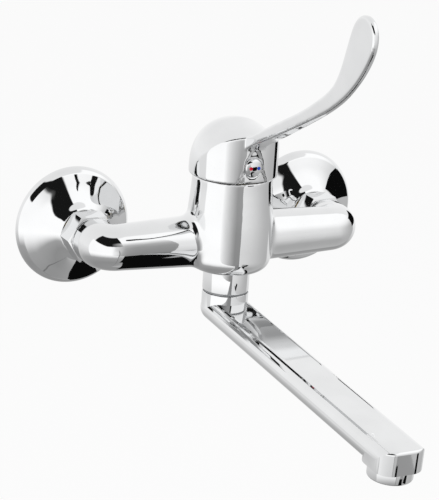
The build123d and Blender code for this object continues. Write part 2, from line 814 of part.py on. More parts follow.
aerator_top = -spout_height - part_gap / 2
aerator_bottom = aerator_top - aerator_height
washer_top = -spout_height - spigot_length
flange_top = washer_top - washer_thick
flange_bottom = flange_top - insert_flange


def make_aerator_housing():
    plane = aerator_plane()
    shell = rod(plane, aerator_d, aerator_bottom, aerator_top)
    shell -= rod(plane, spigot_d + 2 * running_gap, flange_bottom, aerator_top + cut_over)
    return shell - rod(plane, aerator_lip_bore_d, aerator_bottom - cut_over, aerator_top)


def make_aerator_washer():
    return ring(aerator_plane(), spigot_d, spout_mouth_d, flange_top, washer_top)


def make_aerator_insert():
    plane = aerator_plane()
    insert = rod(plane, spigot_d, flange_bottom, flange_top)
    insert += rod(plane, insert_body_d, flange_bottom, flange_top + insert_body)
    cells = []
    for row in range(-insert_cell_rings, insert_cell_rings + 1):
        count = 2 * insert_cell_rings + 1 - abs(row)
        for index in range(count):
            x = (index - (count - 1) / 2) * insert_cell_pitch
            y = row * insert_cell_pitch * sqrt(3) / 2
            cells.append((x, y))
    for x, y in cells:
        cell = plane * Pos(x, y, flange_bottom - cut_over) * extrude(
            RegularPolygon(insert_cell_d / 2, 6), amount=insert_body)
        insert -= cell
    return insert


def all_parts():
    parts = {
        "mixer_body": make_mixer_body(),
        "cartridge_base": make_cartridge_base(),
        "port_seals": make_port_seals(),
        "fixed_disc": make_fixed_disc(),
        "moving_disc": make_moving_disc(),
        "disc_carrier": make_disc_carrier(),
        "turning_bush": make_turning_bush(),
        "spindle": make_spindle(),
        "spindle_pin": make_spindle_pin(),
        "cartridge_housing": make_cartridge_housing(),
        "temperature_stop_ring": make_temperature_stop_ring(),
        "cartridge_nut": make_cartridge_nut(),
        "lever": make_lever(),
        "lever_screw": make_lever_screw(),
        "indicator_button": make_indicator_button(),
        "hot_mark": make_mark(-1),
        "cold_mark": make_mark(1),
        "outlet_nipple": make_outlet_nipple(),
        "outlet_sleeve": make_outlet_sleeve(),
        "spout_slip_ring": make_spout_slip_ring(),
        "spout_o_rings": make_spout_o_rings(),
        "spout_snap_ring": make_spout_snap_ring(),
        "spout": make_spout(),
        "aerator_housing": make_aerator_housing(),
        "aerator_washer": make_aerator_washer(),
        "aerator_insert": make_aerator_insert(),
    }
    for name, side in (("left", -1), ("right", 1)):
        parts[name + "_s_union"] = make_s_union(side)
        parts[name + "_rosette"] = make_rosette(side)
        parts[name + "_union_nut"] = make_union_nut(side)
        parts[name + "_inlet_gasket"] = make_inlet_gasket(side)
        parts[name + "_inlet_tail"] = make_inlet_tail(side)
        parts[name + "_tail_seal"] = make_tail_seal(side)
    return parts


os.makedirs("parts", exist_ok=True)
for node, shape in all_parts().items():
    placed = Pos(0, 0, union_offset) * shape
    export_step(placed, "parts/" + node + ".step")
    print(node, round(placed.volume), "mm3")
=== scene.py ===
# %% [markdown]
# # An elbow lever tap in chrome
#
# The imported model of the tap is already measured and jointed. This lesson dresses it: it sets
# up the camera and a small studio, gives every inner piece its finish, and then models each
# chrome piece again with a smooth surface, because polished metal shows every facet.

# %% Load the frame
import json
import math
import bpy
from mathutils import Matrix, Vector


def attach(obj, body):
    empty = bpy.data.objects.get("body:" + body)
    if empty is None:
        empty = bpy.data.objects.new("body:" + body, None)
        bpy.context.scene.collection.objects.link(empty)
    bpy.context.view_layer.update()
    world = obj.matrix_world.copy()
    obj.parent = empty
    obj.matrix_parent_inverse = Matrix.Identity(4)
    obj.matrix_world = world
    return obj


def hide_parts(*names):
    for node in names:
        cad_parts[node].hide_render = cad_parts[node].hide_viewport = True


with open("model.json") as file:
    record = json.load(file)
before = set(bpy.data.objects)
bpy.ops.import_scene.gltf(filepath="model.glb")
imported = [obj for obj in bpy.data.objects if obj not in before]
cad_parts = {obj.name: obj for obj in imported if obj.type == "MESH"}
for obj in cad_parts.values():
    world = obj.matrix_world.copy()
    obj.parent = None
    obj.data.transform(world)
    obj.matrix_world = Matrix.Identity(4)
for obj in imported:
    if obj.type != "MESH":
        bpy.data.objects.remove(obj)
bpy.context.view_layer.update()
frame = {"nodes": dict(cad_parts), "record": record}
MM = 0.001

# %% [markdown]
# ## Camera
#
# The tap is seen from the front left and a little above. The camera is placed by a target, a
# distance and three angles, and the lens is long, so the perspective stays calm.

# %% Camera
VIEW_AZIMUTH = math.radians(-28.1)
VIEW_ELEVATION = math.radians(17.3)
VIEW_ROLL = math.radians(3.63)
VIEW_TARGET = Vector((-9.65, -60.0, 3.05)) * MM
VIEW_DISTANCE = 1095 * MM
LENS = 139.3
SENSOR_WIDTH = 36
FAR_END = 50

back = Vector((
    math.sin(VIEW_AZIMUTH) * math.cos(VIEW_ELEVATION),
    -math.cos(VIEW_AZIMUTH) * math.cos(VIEW_ELEVATION),
    math.sin(VIEW_ELEVATION),
))
level_right = Vector((math.cos(VIEW_AZIMUTH), math.sin(VIEW_AZIMUTH), 0))
level_up = back.cross(level_right)
right = level_right * math.cos(VIEW_ROLL) + level_up * math.sin(VIEW_ROLL)
up = level_up * math.cos(VIEW_ROLL) - level_right * math.sin(VIEW_ROLL)

camera_data = bpy.data.cameras.new("camera")
camera_data.lens = LENS
camera_data.sensor_width = SENSOR_WIDTH
camera_data.clip_end = FAR_END
camera = bpy.data.objects.new("camera", camera_data)
bpy.context.scene.collection.objects.link(camera)
camera.matrix_world = Matrix((
    (right.x, up.x, back.x, VIEW_TARGET.x + back.x * VIEW_DISTANCE),
    (right.y, up.y, back.y, VIEW_TARGET.y + back.y * VIEW_DISTANCE),
    (right.z, up.z, back.z, VIEW_TARGET.z + back.z * VIEW_DISTANCE),
    (0, 0, 0, 1),
))
bpy.context.scene.camera = camera
print("camera at", [round(value, 3) for value in camera.matrix_world.translation])

# %% [markdown]
# ## Studio
#
# Chrome has hardly a colour of its own: it shows the room. A product studio is a white tent
# with a few black cards, and the cards draw the crisp dark lines that make metal read as
# metal. So the world has three faces: plain white for the camera, a soft light for matt
# surfaces, and a painted room that only mirror reflections see.

# %% World and view settings
TENT_STRENGTH = 0.62

scene = bpy.context.scene
scene.view_settings.view_transform = "Standard"
world = bpy.data.worlds.new("tent")
scene.world = world
world.use_nodes = True
world_tree = world.node_tree
world_tree.nodes.clear()


def math_node(tree, operation, *values):
    """Math node fed by sockets or plain numbers; gives its result."""
    node = tree.nodes.new("ShaderNodeMath")
    node.operation = operation
    for index, value in enumerate(values):
        if isinstance(value, (int, float)):
            node.inputs[index].default_value = value
        else:
            tree.links.new(value, node.inputs[index])
    return node.outputs[0]


world_out = world_tree.nodes.new("ShaderNodeOutputWorld")
rays = world_tree.nodes.new("ShaderNodeLightPath")
seen = math_node(world_tree, "MAXIMUM", rays.outputs["Is Camera Ray"], rays.outputs["Is Transmission Ray"])
tent = world_tree.nodes.new("ShaderNodeBackground")
tent.inputs["Strength"].default_value = TENT_STRENGTH
backdrop_light = world_tree.nodes.new("ShaderNodeBackground")
backdrop_light.inputs["Color"].default_value = (1, 1, 1, 1)
mirror_light = world_tree.nodes.new("ShaderNodeBackground")
pick_mirror = world_tree.nodes.new("ShaderNodeMixShader")
pick_seen = world_tree.nodes.new("ShaderNodeMixShader")
join = world_tree.links.new
join(rays.outputs["Is Glossy Ray"], pick_mirror.inputs[0])
join(tent.outputs[0], pick_mirror.inputs[1])
join(mirror_light.outputs[0], pick_mirror.inputs[2])
join(seen, pick_seen.inputs[0])
join(pick_mirror.outputs[0], pick_seen.inputs[1])
join(backdrop_light.outputs[0], pick_seen.inputs[2])
join(pick_seen.outputs[0], world_out.inputs[0])
print("world nodes", len(world_tree.nodes))

# %% [markdown]
# ### What the metal mirrors
#
# Every direction has an azimuth, counted from straight ahead of the tap to its right, and an
# elevation. The room starts as one ramp of greys from the floor to the roof: a darker floor
# under a white wall, as in a tent that stands on a grey table.

# %% Directions and the base ramp
TENT_STOPS = ((-90, 0.34), (-62, 0.32), (-38, 0.42), (-17, 0.85), (0, 1.02), (90, 0.92))


def grey_stops(ramp, stops):
    """Gives a colour ramp its greys; each stop is a position from 0 to 1 and a grey."""
    elements = ramp.color_ramp.elements
    elements.remove(elements[-1])
    for index, (position, grey) in enumerate(stops):
        stop = elements[0] if index == 0 else elements.new(position)
        stop.position = position
        stop.color = (grey, grey, grey, 1)


direction = world_tree.nodes.new("ShaderNodeTexCoord")
split = world_tree.nodes.new("ShaderNodeSeparateXYZ")
join(direction.outputs["Generated"], split.inputs[0])
to_viewer = math_node(world_tree, "MULTIPLY", split.outputs["Y"], -1)
azimuth = math_node(world_tree, "DEGREES", math_node(world_tree, "ARCTAN2", split.outputs["X"], to_viewer))
elevation = math_node(world_tree, "DEGREES", math_node(world_tree, "ARCSINE", split.outputs["Z"]))
height_share = world_tree.nodes.new("ShaderNodeMapRange")
height_share.inputs["From Min"].default_value = -90
height_share.inputs["From Max"].default_value = 90
tent_ramp = world_tree.nodes.new("ShaderNodeValToRGB")
join(elevation, height_share.inputs["Value"])
join(height_share.outputs[0], tent_ramp.inputs[0])
grey_stops(tent_ramp, [((degrees + 90) / 180, grey) for degrees, grey in TENT_STOPS])
print("tent ramp stops", len(tent_ramp.color_ramp.elements))

# %% [markdown]
# ### Soft boxes and panels
#
# Bright soft boxes and darker panels are laid over the ramp like sheets of paper, each as a
# window of azimuth and elevation. Their edges are soft or crisp, as the edges in the chrome
# should be: a wide edge gives a gradient, a narrow one a line.


# %% Soft boxes and panels
def comes_in(socket, start, width):
    """Goes from 0 to 1 as the socket passes a soft edge."""
    node = world_tree.nodes.new("ShaderNodeMapRange")
    node.interpolation_type = "SMOOTHSTEP"
    node.inputs["From Min"].default_value = start
    node.inputs["From Max"].default_value = start + width
    join(socket, node.inputs["Value"])
    return node.outputs[0]


def goes_out(socket, start, width):
    """Goes from 1 to 0 as the socket passes a soft edge."""
    return math_node(world_tree, "SUBTRACT", 1, comes_in(socket, start, width))


def lay_over(under, shares, grey):
    """Lays one grey over the room where every share is 1."""
    share = shares[0]
    for other in shares[1:]:
        share = math_node(world_tree, "MULTIPLY", share, other)
    mix = world_tree.nodes.new("ShaderNodeMix")
    mix.data_type = "RGBA"
    mix.inputs["B"].default_value = (grey, grey, grey, 1)
    join(share, mix.inputs["Factor"])
    join(under, mix.inputs["A"])
    return mix.outputs["Result"]


# Azimuths, elevations, soft widths of the left, right, lower and upper edge, grey
PANELS = (
    ((-103, 0), (-40, 4), (3, 1, 24, 14), 1.25),
    ((-103, -8), (-20, 36), (3, 12, 10, 2), 1.22),
    ((-3, 0), (-90, 6), (1, 1, 1, 12), 0.20),
    ((0, 104), (-90, 24), (96, 3, 1, 24), 0.52),
    ((0, 104), (12, 62), (3, 3, 24, 4), 1.22),
)
room = tent_ramp.outputs[0]
for azimuths, elevations, soft, grey in PANELS:
    room = lay_over(room, (
        comes_in(azimuth, azimuths[0], soft[0]),
        goes_out(azimuth, azimuths[1] - soft[1], soft[1]),
        comes_in(elevation, elevations[0], soft[2]),
        goes_out(elevation, elevations[1] - soft[3], soft[3]),
    ), grey)
print("panels", len(PANELS))

# %% [markdown]
# ### Large flag
#
# Photographers call a black card in front of a lamp a flag. This large one hangs high on the
# left and draws the black wedges in the rosettes and the line along the arms. Its lower edge
# falls from left to right until it runs level, and its right edge leans.

# %% Large flag
FLAG_FALL = -0.296
FLAG_AHEAD = 6.0
FLAG_LOWEST = 18
FLAG_LEAN = 0.25
FLAG_RIGHT = 16
FLAG_LEFT = -92
FLAG_TOP = 62
FLAG_GREY = 0.01

lower_edge = math_node(world_tree, "MULTIPLY_ADD", azimuth, FLAG_FALL, FLAG_AHEAD)
lower_edge = math_node(world_tree, "MAXIMUM", lower_edge, FLAG_LOWEST)
over_edge = math_node(world_tree, "SUBTRACT", elevation, lower_edge)
leaning_azimuth = math_node(world_tree, "MULTIPLY_ADD", elevation, FLAG_LEAN, azimuth)
room = lay_over(room, (
    comes_in(over_edge, 0, width=3),
    goes_out(leaning_azimuth, FLAG_RIGHT, width=2.5),
    comes_in(azimuth, FLAG_LEFT, width=4),
    goes_out(elevation, FLAG_TOP, width=4),
), FLAG_GREY)
join(room, mirror_light.inputs["Color"])
print("world nodes", len(world_tree.nodes))

# %% [markdown]
# ### Floor
#
# A catalogue picture has a floor that can't be told from the background. So the camera sees
# mostly an even glow, and a small share of real paint that takes the tap's soft shadow. The
# chrome doesn't mirror this floor, because the painted room has one of its own.

# %% Floor
FLOOR_SIZE = 8
FLOOR_HEIGHT = -0.5
GLOW_SHARE = 0.92


def bare_material(name):
    """Material with nothing but an output; gives it with its tree and the output's socket."""
    material = bpy.data.materials.new(name)
    material.use_nodes = True
    tree = material.node_tree
    tree.nodes.clear()
    out = tree.nodes.new("ShaderNodeOutputMaterial")
    return material, tree, out.inputs["Surface"]


bpy.ops.mesh.primitive_plane_add(size=FLOOR_SIZE, location=(0, 0, FLOOR_HEIGHT))
floor = bpy.context.object
floor.name = "floor"
floor_finish, floor_tree, floor_surface = bare_material("floor_finish")
paint = floor_tree.nodes.new("ShaderNodeBsdfDiffuse")
paint.inputs["Color"].default_value = (0.9, 0.9, 0.9, 1)
glow = floor_tree.nodes.new("ShaderNodeEmission")
glow.inputs["Strength"].default_value = 1
rays = floor_tree.nodes.new("ShaderNodeLightPath")
share = math_node(floor_tree, "MULTIPLY", rays.outputs["Is Camera Ray"], GLOW_SHARE)
blend = floor_tree.nodes.new("ShaderNodeMixShader")
floor_tree.links.new(share, blend.inputs[0])
floor_tree.links.new(paint.outputs[0], blend.inputs[1])
floor_tree.links.new(glow.outputs[0], blend.inputs[2])
floor_tree.links.new(blend.outputs[0], floor_surface)
floor.data.materials.append(floor_finish)
floor.visible_glossy = False
print("floor at", FLOOR_HEIGHT)

# %% [markdown]
# ### Soft lights
#
# Three large, weak lamps light what is matt, such as the seals and the floor. They are hidden
# from reflections, so that no bright rectangle turns up in the chrome.

# %% Soft lights
LAMP_AIM = (0, -0.08, 0.03)
LAMPS = (
    ("roof_light", (-0.2, -0.3, 1.4), 1.2, 1.2, 7),
    ("left_light", (-1.2, -0.8, 0.5), 0.9, 1.2, 5),
    ("right_light", (1.2, -0.6, 0.6), 0.9, 1.2, 3),
)
for name, place, width, height, power in LAMPS:
    data = bpy.data.lights.new(name, "AREA")
    data.shape = "RECTANGLE"
    data.size = width
    data.size_y = height
    data.energy = power
    lamp = bpy.data.objects.new(name, data)
    bpy.context.scene.collection.objects.link(lamp)
    lamp.location = place
    lamp.rotation_euler = (Vector(place) - Vector(LAMP_AIM)).to_track_quat("Z", "Y").to_euler()
    lamp.visible_glossy = False
print("lamps", len(LAMPS))

# %% [markdown]
# ### Cards near the tap
#
# The painted room is endlessly far away, so a straight piece mirrors only a single spot of it.
# The long dark lines along a spout come from cards close by. These lie low under the tap or
# stand beside one piece, and only reflections can see them, so they shade nothing.

# %% Black cards
CARD_HEIGHT = -0.3
BLACK = 0.004

# Name, place, width, length, turn about X, Y and Z in degrees, grey
CARDS = (
    ("near_card", (0.095, -0.105, CARD_HEIGHT), 0.15, 0.37, (0, 0, 0), BLACK),
    ("long_card", (0.095, -0.43, CARD_HEIGHT - 0.002), 0.11, 0.46, (0, 0, 20), BLACK),
    ("nose_card", (0.148, -0.379, -0.15), 0.05, 0.14, (0, 0, 49), BLACK),
    ("rosette_card", (0.135, -0.030, 0.021), 0.044, 0.032, (90, 0, 90), BLACK),
    ("grey_card", (0.235, -0.72, CARD_HEIGHT - 0.01), 0.16, 0.26, (0, 0, 20), 0.36),
    ("button_card", (0.0126, -0.1006, 0.0467), 0.013, 0.009, (90, 0, 0), BLACK),
)


def hide_from_lamps(card):
    """Leaves a card to the mirror reflections alone."""
    card.visible_camera = False
    card.visible_diffuse = False
    card.visible_shadow = False
    card.visible_transmission = False


for name, place, width, length, turn, grey in CARDS:
    bpy.ops.mesh.primitive_plane_add(size=1, location=place)
    card = bpy.context.object
    card.name = name
    card.rotation_euler = [math.radians(value) for value in turn]
    card.scale = (width, length, 1)
    paper, paper_tree, paper_surface = bare_material(name + "_paper")
    face = paper_tree.nodes.new("ShaderNodeEmission")
    face.inputs["Color"].default_value = (grey, grey, grey, 1)
    paper_tree.links.new(face.outputs[0], paper_surface)
    card.data.materials.append(paper)
    hide_from_lamps(card)
print("cards", len(CARDS))

# %% [markdown]
# ### Graded sheet
#
# A graded sheet is a paper that runs from grey to white. It stands upright in front of the
# left arm and lets the arm run from light at its top to mid grey below. It shows on the tap's
# side only, and it fades out to the left and to the top, so it leaves no edge in the metal.

# %% Graded sheet
SHEET_PLACE = (-0.062, -0.165, 0.026)
SHEET_SIZE = (0.130, 0.140, 1)
SHEET_STOPS = ((0.0, 0.30), (0.32, 0.34), (0.50, 0.38), (0.68, 0.52), (0.80, 0.80), (0.92, 1.05))
HALF_SHEET = 0.5
FADE_LEFT_END = 0.30
FADE_TOP_START = 0.35

bpy.ops.mesh.primitive_plane_add(size=1, location=SHEET_PLACE)
sheet = bpy.context.object
sheet.name = "graded_sheet"
sheet.rotation_euler = (math.radians(90), 0, 0)
sheet.scale = SHEET_SIZE
sheet_paper, sheet_tree, sheet_surface = bare_material("graded_paper")
nodes = sheet_tree.nodes
link = sheet_tree.links.new
place = nodes.new("ShaderNodeTexCoord")
parts = nodes.new("ShaderNodeSeparateXYZ")
link(place.outputs["Object"], parts.inputs[0])
height = math_node(sheet_tree, "ADD", parts.outputs["Y"], HALF_SHEET)
grades = nodes.new("ShaderNodeValToRGB")
link(height, grades.inputs[0])
grey_stops(grades, SHEET_STOPS)
glow = nodes.new("ShaderNodeEmission")
link(grades.outputs[0], glow.inputs["Color"])
clear = nodes.new("ShaderNodeBsdfTransparent")
fade_left = nodes.new("ShaderNodeMapRange")
fade_left.inputs["From Min"].default_value = -HALF_SHEET
fade_left.inputs["From Max"].default_value = FADE_LEFT_END
link(parts.outputs["X"], fade_left.inputs["Value"])
fade_top = nodes.new("ShaderNodeMapRange")
fade_top.inputs["From Min"].default_value = HALF_SHEET
fade_top.inputs["From Max"].default_value = FADE_TOP_START
link(parts.outputs["Y"], fade_top.inputs["Value"])
side = nodes.new("ShaderNodeNewGeometry")
share = math_node(sheet_tree, "MULTIPLY", fade_left.outputs[0], side.outputs["Backfacing"])
share = math_node(sheet_tree, "MULTIPLY", share, fade_top.outputs[0])
blend = nodes.new("ShaderNodeMixShader")
link(share, blend.inputs[0])
link(clear.outputs[0], blend.inputs[1])
link(glow.outputs[0], blend.inputs[2])
link(blend.outputs[0], sheet_surface)
sheet.data.materials.append(sheet_paper)
hide_from_lamps(sheet)
print("studio ready")

# %% [markdown]
# ## Finishes
#
# A tap holds more materials than it shows: chromed brass outside, bare brass, steel, ceramic
# discs, plastic and rubber inside. Every finish is a small node tree on object coordinates: a
# base colour that is never quite even, a roughness that changes with handling, and a very
# fine bump. Real surfaces are never perfectly even, and that is what the eye looks for.

# %% Finishes
CLOUD_DETAIL = 4
GRAIN_DETAIL = 3
GRAIN_FINENESS = 12
RELIEF_DEPTH = 0.0002
RAMP_ENDS = (0.35, 0.65)


def finish(name, dark, light, metallic, rough_low, rough_high, scale, bump, coat=0.0):
    """Material whose colour and roughness wander with one noise, with a finer one as relief."""
    material, tree, surface = bare_material(name)
    shader = tree.nodes.new("ShaderNodeBsdfPrincipled")
    shader.inputs["Metallic"].default_value = metallic
    shader.inputs["Coat Weight"].default_value = coat
    place = tree.nodes.new("ShaderNodeTexCoord")
    cloud = tree.nodes.new("ShaderNodeTexNoise")
    cloud.inputs["Scale"].default_value = scale
    cloud.inputs["Detail"].default_value = CLOUD_DETAIL
    colours = tree.nodes.new("ShaderNodeValToRGB")
    for element, colour, position in zip(colours.color_ramp.elements, (dark, light), RAMP_ENDS):
        element.color = (*colour, 1)
        element.position = position
    wipe = tree.nodes.new("ShaderNodeMapRange")
    wipe.inputs["To Min"].default_value = rough_low
    wipe.inputs["To Max"].default_value = rough_high
    grain = tree.nodes.new("ShaderNodeTexNoise")
    grain.inputs["Scale"].default_value = scale * GRAIN_FINENESS
    grain.inputs["Detail"].default_value = GRAIN_DETAIL
    relief = tree.nodes.new("ShaderNodeBump")
    relief.inputs["Strength"].default_value = bump
    relief.inputs["Distance"].default_value = RELIEF_DEPTH
    link = tree.links.new
    link(place.outputs["Object"], cloud.inputs["Vector"])
    link(place.outputs["Object"], grain.inputs["Vector"])
    link(cloud.outputs["Fac"], colours.inputs["Fac"])
    link(colours.outputs["Color"], shader.inputs["Base Color"])
    link(cloud.outputs["Fac"], wipe.inputs["Value"])
    link(wipe.outputs["Result"], shader.inputs["Roughness"])
    link(grain.outputs["Fac"], relief.inputs["Height"])
    link(relief.outputs["Normal"], shader.inputs["Normal"])
    link(shader.outputs["BSDF"], surface)
    return material


# Name, dark and light colour, metallic, lowest and highest roughness, scale, relief, coat
chrome = finish("polished_chrome", (0.78, 0.785, 0.79), (0.82, 0.825, 0.83), 1.0, 0.02, 0.045, 40, 0.004)
brass = finish("machined_brass", (0.62, 0.47, 0.2), (0.76, 0.6, 0.3), 1.0, 0.2, 0.34, 60, 0.12)
steel = finish("spring_steel", (0.5, 0.5, 0.51), (0.62, 0.62, 0.63), 1.0, 0.22, 0.36, 80, 0.1)
ceramic = finish("lapped_ceramic", (0.83, 0.8, 0.75), (0.9, 0.88, 0.83), 0.0, 0.12, 0.2, 90, 0.02, 0.3)
white_plastic = finish("white_plastic", (0.8, 0.8, 0.78), (0.88, 0.88, 0.86), 0.0, 0.36, 0.5, 70, 0.08)
grey_plastic = finish("grey_plastic", (0.3, 0.31, 0.32), (0.38, 0.39, 0.4), 0.0, 0.34, 0.48, 70, 0.08)
rubber = finish("black_rubber", (0.018, 0.018, 0.018), (0.035, 0.035, 0.035), 0.0, 0.5, 0.7, 90, 0.2)
fibre = finish("red_fibre", (0.22, 0.07, 0.05), (0.36, 0.14, 0.1), 0.0, 0.6, 0.85, 150, 0.5)
red_dot = finish("red_dot", (0.62, 0.01, 0.03), (0.78, 0.02, 0.06), 0.0, 0.12, 0.25, 200, 0.03, 0.5)
blue_dot = finish("blue_dot", (0.01, 0.05, 0.5), (0.02, 0.09, 0.65), 0.0, 0.12, 0.25, 200, 0.03, 0.5)

# %% [markdown]
# ### Dressing the inner pieces
#
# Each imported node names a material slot. The inner pieces already have the right shape, so
# they only change their coat here. The chrome ones are covered by new pieces further down.

# %% Finish of each node
FINISH_OF_SLOT = {
    "chrome_body": chrome, "chrome_lever": chrome, "chrome_button": chrome, "chrome_spout": chrome,
    "chrome_rosette": chrome, "chrome_nut": chrome, "brass_union": brass, "brass_inner": brass,
    "steel_inner": steel, "disc_ceramic": ceramic, "plastic_inner": white_plastic,
    "plastic_stop": grey_plastic, "seal_rubber": rubber, "gasket_fibre": fibre,
    "mark_red": red_dot, "mark_blue": blue_dot,
}
for entry in frame["record"]["subparts"]:
    node = frame["nodes"][entry["node"]]
    node.data.materials.clear()
    node.data.materials.append(FINISH_OF_SLOT[entry["material_slot"]])

# %% [markdown]
# ## Turned pieces
#
# Rosettes, collar, aerator ring and button are turned or spun on the real tap. The same is
# done here: a half outline is drawn point by point and spun about the axis. Round edges are
# part of the outline, because chrome shows every edge as a thin bright line.

# %% Outlines
CORNER_STEPS = 4


def smooth_line(points, steps):
    """Curve through all points, with a number of steps between each two."""
    line = []
    last = len(points) - 1
    for index in range(last):
        before = Vector(points[max(index - 1, 0)])
        start = Vector(points[index])
        end = Vector(points[index + 1])
        after = Vector(points[min(index + 2, last)])
        for step in range(steps):
            t = step / steps
            pull_start = (end - before) * 0.5
            pull_end = (after - start) * 0.5
            line.append(
                start * (2 * t ** 3 - 3 * t ** 2 + 1) + pull_start * (t ** 3 - 2 * t ** 2 + t)
                + end * (3 * t ** 2 - 2 * t ** 3) + pull_end * (t ** 3 - t ** 2)
            )
    line.append(Vector(points[-1]))
    return line


def rounded(points, radii):
    """Closed outline whose corners are rounded; radii has one value for each corner."""
    line = []
    count = len(points)
    for index in range(count):
        corner = Vector(points[index])
        radius = radii[index]
        if radius == 0:
            line.append(corner)
            continue
        towards_last = (Vector(points[index - 1]) - corner).normalized()
        towards_next = (Vector(points[(index + 1) % count]) - corner).normalized()
        half_angle = towards_last.angle(towards_next) / 2
        reach = radius / math.tan(half_angle)
        start = corner + towards_last * reach
        end = corner + towards_next * reach
        for step in range(CORNER_STEPS + 1):
            t = step / CORNER_STEPS
            line.append(start * (1 - t) ** 2 + corner * 2 * t * (1 - t) + end * t ** 2)
    return line


# %% [markdown]
# ### Drawing and spinning
#
# By hand, a turned piece starts as a single point. It is extruded from one corner of the
# outline to the next, all in the XZ plane, and then the Spin tool sweeps the line round the Z
# axis. Doubles on the axis are merged, and the normals are turned outwards.

# %% Drawing and spinning
SPIN_STEPS = 96
DOUBLES = 0.004 * MM


def first_point(name, start):
    """New object in edit mode with one chosen point in the XZ plane, in millimetres."""
    bpy.ops.mesh.primitive_plane_add(size=2 * MM, location=(0, 0, 0))
    piece = bpy.context.object
    piece.name = name
    bpy.ops.object.mode_set(mode="EDIT")
    bpy.ops.mesh.select_mode(type="VERT")
    bpy.ops.mesh.select_all(action="SELECT")
    bpy.ops.mesh.merge(type="CENTER")
    bpy.ops.transform.translate(value=(start[0] * MM, 0, start[1] * MM))
    return piece


def next_point(x, z):
    """Extrudes the chosen point by a step in the XZ plane, in millimetres."""
    bpy.ops.mesh.extrude_region_move(TRANSFORM_OT_translate={"value": (x * MM, 0, z * MM)})


def merge_doubles():
    """Merges points that lie on each other and leaves everything chosen."""
    bpy.ops.mesh.select_all(action="SELECT")
    bpy.ops.mesh.remove_doubles(threshold=DOUBLES)


def spun_blank(name, outline, closed):
    """Outline of (radius, height) in millimetres, spun about the Z axis at the origin."""
    line = list(outline) + ([outline[0]] if closed else [])
    blank = first_point(name, line[0])
    for last, point in zip(line, line[1:]):
        move = Vector(point) - Vector(last)
        next_point(move.x, move.y)
    bpy.ops.mesh.select_all(action="SELECT")
    bpy.ops.mesh.spin(steps=SPIN_STEPS, angle=2 * math.pi, center=(0, 0, 0), axis=(0, 0, 1))
    merge_doubles()
    bpy.ops.mesh.normals_make_consistent(inside=False)
    bpy.ops.object.mode_set(mode="OBJECT")
    return blank


# %% [markdown]
# ### Placing and settling
#
# Every blank is made at the origin, where its outline is easy to read, and is then turned and
# moved to its place on the tap. Settling it means: smooth shading, its finish, the body it
# moves with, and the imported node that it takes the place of.

# %% Placing and settling
SMOOTH_ANGLE = 35


def stand(piece, place, tilt=(0, 0, 0)):
    """Turns a blank by angles in degrees and moves it to its place in millimetres."""
    piece.rotation_euler = [math.radians(value) for value in tilt]
    piece.location = Vector(place) * MM


def take(piece):
    """Makes a piece the active one and the only one that is chosen."""
    bpy.ops.object.select_all(action="DESELECT")
    bpy.context.view_layer.objects.active = piece
    piece.select_set(True)


def fix_place(piece):
    """Makes the place, turn and scale of a piece part of its mesh."""
    take(piece)
    bpy.ops.object.transform_apply(location=True, rotation=True, scale=True)


def settle(piece, body, slot, nodes, angle=SMOOTH_ANGLE):
    """Smooth shading, finish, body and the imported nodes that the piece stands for."""
    fix_place(piece)
    bpy.ops.object.shade_smooth_by_angle(angle=math.radians(angle))
    piece.data.materials.clear()
    piece.data.materials.append(FINISH_OF_SLOT[slot])
    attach(piece, body)
    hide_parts(*nodes)
    print(piece.name, len(piece.data.polygons), "faces")


# %% [markdown]
# ### Rosettes
#
# A rosette is a spun sheet-brass bell. It starts with a straight lip on the tiles, rolls over a
# round rim, stays slightly full and then sweeps hollow up to the neck round the union. The
# curve through its points runs without a kink, since the rings of the room's reflection would
# show one at once.

# %% Rosettes
INLET_SIDE = 75.0
ARM_HEIGHT = 6.0
rosette_rim = smooth_line((
    (34.7, 0.0), (34.6, 1.0), (34.0, 2.5), (33.0, 4.0), (31.8, 5.3),
), 3)
rosette_bell = smooth_line((
    (31.8, 5.3), (28.6, 6.7), (24.4, 8.55), (20.4, 10.7), (17.0, 13.2), (14.7, 15.8), (13.6, 16.7),
), 5)
rosette_outside = rosette_rim + rosette_bell[1:]
rosette_neck = [Vector((12.6, 16.8)), Vector((11.0, 16.6)), Vector((10.9, 15.4))]
rosette_back = smooth_line((
    (13.2, 14.6), (16.0, 11.6), (19.7, 8.8), (23.9, 6.6), (28.2, 4.6), (31.8, 3.0), (33.5, 1.4), (33.5, 0.0),
), 2)
for side, x in (("left", -INLET_SIDE), ("right", INLET_SIDE)):
    rosette = spun_blank(side + "_rosette_bell", rosette_outside + rosette_neck + rosette_back, True)
    stand(rosette, (x, 0, ARM_HEIGHT), (90, 0, 0))
    settle(rosette, "fixed", "chrome_rosette", (side + "_rosette",))

# %% [markdown]
# ### Collar
#
# The collar is a plain turned sleeve that covers the spout's swivel joint below the barrel.
# Only its outer corners are rounded, the lower one more, so that the joint with the turning
# collar below it shows as a fine line.

# %% Collar
AXIS_DEPTH = 52.0
COLLAR_RADIUS = 13.4
COLLAR_BORE = 9.9
COLLAR_BOTTOM = -23.2
COLLAR_TOP = -10.3
collar = spun_blank("outlet_collar", rounded((
    (COLLAR_RADIUS, COLLAR_BOTTOM), (COLLAR_RADIUS, COLLAR_TOP),
    (COLLAR_BORE, COLLAR_TOP), (COLLAR_BORE, COLLAR_BOTTOM),
), (0.5, 0.3, 0, 0)), True)
stand(collar, (0, -AXIS_DEPTH, 0))
settle(collar, "fixed", "chrome_body", ("outlet_sleeve",))

# %% [markdown]
# ### Aerator ring
#
# The aerator ring screws in below the nose and holds the sieve that makes the jet soft. It is
# a turned ring with an inner ledge, and it leans with the spout, which falls a few degrees so
# that it runs dry.

